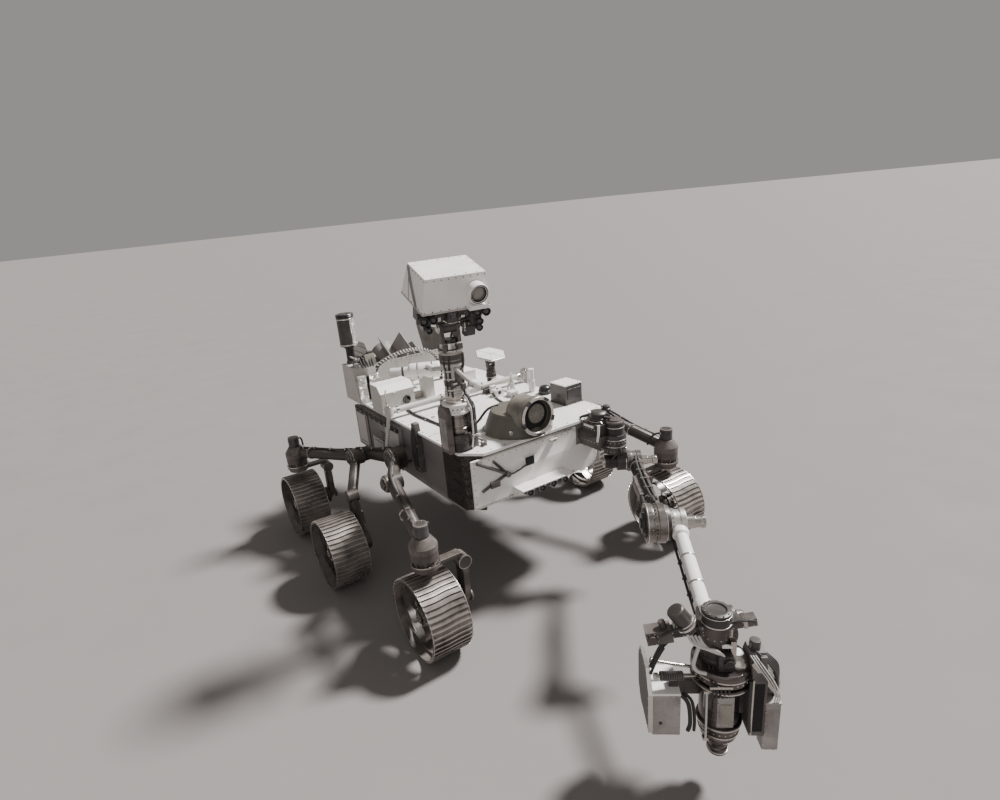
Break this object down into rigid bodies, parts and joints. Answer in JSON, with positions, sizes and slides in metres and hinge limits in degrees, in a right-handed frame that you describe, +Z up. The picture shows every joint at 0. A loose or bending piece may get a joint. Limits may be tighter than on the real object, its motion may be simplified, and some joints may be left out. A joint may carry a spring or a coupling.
{
  "type": "planetary rover",
  "caption": "Six-wheeled planetary rover with steered corner wheels, rocker suspension, camera mast, steerable antenna, jointed arm with tool turret and a finned rear power source.",
  "frame": {"origin": "on the ground, under the middle of the whole rover with its arm held out", "axes": "+Z up, -Y the way it drives forward, -X its right side"},
  "size_m": [2.699, 4.46, 2.2959],
  "materials": {
    "wheel_metal": "satin",
    "dark_tube": "satin",
    "dark_coating": "satin",
    "grey_paint": "satin",
    "white_paint": "satin",
    "bare_metal": "brushed",
    "shroud_paint": "matte",
    "black_instrument": "satin"
  },
  "bodies": {
    "chassis": {"steering_drives_right": "dark_coating", "steering_drives_left": "dark_coating", "rocker_right": "dark_tube", "rocker_left": "dark_tube", "bogie_right": "dark_tube", "bogie_left": "dark_tube", "chassis": "grey_paint", "deck": "white_paint", "differential_bar": "bare_metal", "differential_link_right": "bare_metal", "differential_link_left": "bare_metal", "front_truss": "dark_coating", "camera_visor": "white_paint", "corner_skirt": "dark_coating", "bit_carousel": "shroud_paint", "mast_base": "bare_metal", "mast_tube": "bare_metal", "antenna_base": "bare_metal", "rear_rack": "white_paint", "relay_antenna": "dark_coating", "deck_box": "white_paint", "deck_canister": "bare_metal", "canister_foot": "dark_coating", "deck_units": "dark_coating", "low_gain_antenna": "bare_metal", "power_source": "dark_coating", "power_mount": "dark_coating", "power_plates": "shroud_paint", "side_panels_right": "grey_paint", "side_panels_left": "grey_paint", "side_conduit": "dark_coating", "shoulder_bracket": "white_paint", "front_panel": "white_paint"},
    "knuckle_front_right": {"knuckle_front_right": "dark_tube"},
    "knuckle_front_left": {"knuckle_front_left": "dark_tube"},
    "knuckle_rear_right": {"knuckle_rear_right": "dark_tube"},
    "knuckle_rear_left": {"knuckle_rear_left": "dark_tube"},
    "mast_pan": {"mast_neck": "bare_metal"},
    "mast_tilt": {"mast_head": "white_paint", "camera_bar": "black_instrument"},
    "antenna_pan": {"antenna_yoke": "dark_coating"},
    "antenna_tilt": {"antenna_dish": "white_paint"},
    "arm_swing": {"shoulder_stage": "dark_coating"},
    "arm_upper": {"upper_arm": "bare_metal"},
    "arm_fore": {"forearm": "white_paint"},
    "arm_wrist": {"wrist": "bare_metal"},
    "turret": {"turret_drill": "grey_paint", "turret_hub": "dark_coating", "turret_box_left": "grey_paint", "turret_box_right": "dark_coating", "turret_crossbar": "dark_coating"},
    "wheel_front_right": {"wheel_front_right": "wheel_metal"},
    "wheel_front_left": {"wheel_front_left": "wheel_metal"},
    "wheel_middle_right": {"wheel_middle_right": "wheel_metal"},
    "wheel_middle_left": {"wheel_middle_left": "wheel_metal"},
    "wheel_rear_right": {"wheel_rear_right": "wheel_metal"},
    "wheel_rear_left": {"wheel_rear_left": "wheel_metal"}
  },
  "joints": [
    {"name": "steer_front_right", "type": "hinge", "parent": "chassis", "child": "knuckle_front_right", "pos_m": [-1.042, -0.47226, 0.59998], "axis": [0, 0, 1], "range_deg": [-95, 95]},
    {"name": "roll_front_right", "type": "hinge", "parent": "knuckle_front_right", "child": "wheel_front_right", "pos_m": [-1.042, -0.47226, 0.26248], "axis": [1, 0, 0], "continuous": true},
    {"name": "steer_front_left", "type": "hinge", "parent": "chassis", "child": "knuckle_front_left", "pos_m": [1.042, -0.47226, 0.59998], "axis": [0, 0, 1], "range_deg": [-95, 95]},
    {"name": "roll_front_left", "type": "hinge", "parent": "knuckle_front_left", "child": "wheel_front_left", "pos_m": [1.042, -0.47226, 0.26248], "axis": [1, 0, 0], "continuous": true},
    {"name": "roll_middle_right", "type": "hinge", "parent": "chassis", "child": "wheel_middle_right", "pos_m": [-1.217, 0.60874, 0.26248], "axis": [1, 0, 0], "continuous": true},
    {"name": "roll_middle_left", "type": "hinge", "parent": "chassis", "child": "wheel_middle_left", "pos_m": [1.217, 0.60874, 0.26248], "axis": [1, 0, 0], "continuous": true},
    {"name": "steer_rear_right", "type": "hinge", "parent": "chassis", "child": "knuckle_rear_right", "pos_m": [-1.167, 1.58074, 0.59998], "axis": [0, 0, 1], "range_deg": [-95, 95]},
    {"name": "roll_rear_right", "type": "hinge", "parent": "knuckle_rear_right", "child": "wheel_rear_right", "pos_m": [-1.167, 1.58074, 0.26248], "axis": [1, 0, 0], "continuous": true},
    {"name": "steer_rear_left", "type": "hinge", "parent": "chassis", "child": "knuckle_rear_left", "pos_m": [1.167, 1.58074, 0.59998], "axis": [0, 0, 1], "range_deg": [-95, 95]},
    {"name": "roll_rear_left", "type": "hinge", "parent": "knuckle_rear_left", "child": "wheel_rear_left", "pos_m": [1.167, 1.58074, 0.26248], "axis": [1, 0, 0], "continuous": true},
    {"name": "mast_pan", "type": "hinge", "parent": "chassis", "child": "mast_pan", "pos_m": [-0.552, -0.17626, 1.75028], "axis": [0, 0, 1], "range_deg": [-170, 180]},
    {"name": "mast_tilt", "type": "hinge", "parent": "mast_pan", "child": "mast_tilt", "pos_m": [-0.552, -0.17626, 1.89598], "axis": [-0.991, 0.134, 0], "range_deg": [-73, 105]},
    {"name": "antenna_pan", "type": "hinge", "parent": "chassis", "child": "antenna_pan", "pos_m": [0.424, 0.87374, 1.20428], "axis": [0, 0, 1], "range_deg": [-180, 180]},
    {"name": "antenna_tilt", "type": "hinge", "parent": "antenna_pan", "child": "antenna_tilt", "pos_m": [0.424, 0.87374, 1.30428], "axis": [1, 0, 0], "range_deg": [-12, 78]},
    {"name": "arm_azimuth", "type": "hinge", "parent": "chassis", "child": "arm_swing", "pos_m": [0.431, -0.55526, 0.82598], "axis": [0, 0, 1], "range_deg": [-30, 90]},
    {"name": "arm_shoulder", "type": "hinge", "parent": "arm_swing", "child": "arm_upper", "pos_m": [0.431, -0.55526, 0.82598], "axis": [-0.788, 0.6157, 0], "range_deg": [-2, 70]},
    {"name": "arm_elbow", "type": "hinge", "parent": "arm_upper", "child": "arm_fore", "pos_m": [-0.11185, -1.25008, 0.84753], "axis": [0.788, -0.6157, 0], "range_deg": [-10, 110]},
    {"name": "arm_wrist", "type": "hinge", "parent": "arm_fore", "child": "arm_wrist", "pos_m": [-0.47842, -1.71927, 0.69354], "axis": [-0.788, 0.6157, 0], "range_deg": [-60, 78]},
    {"name": "arm_turret", "type": "hinge", "parent": "arm_wrist", "child": "turret", "pos_m": [-0.31294, -1.84856, 0.69354], "axis": [-0.6157, -0.788, 0], "range_deg": [-170, 170]}
  ]
}
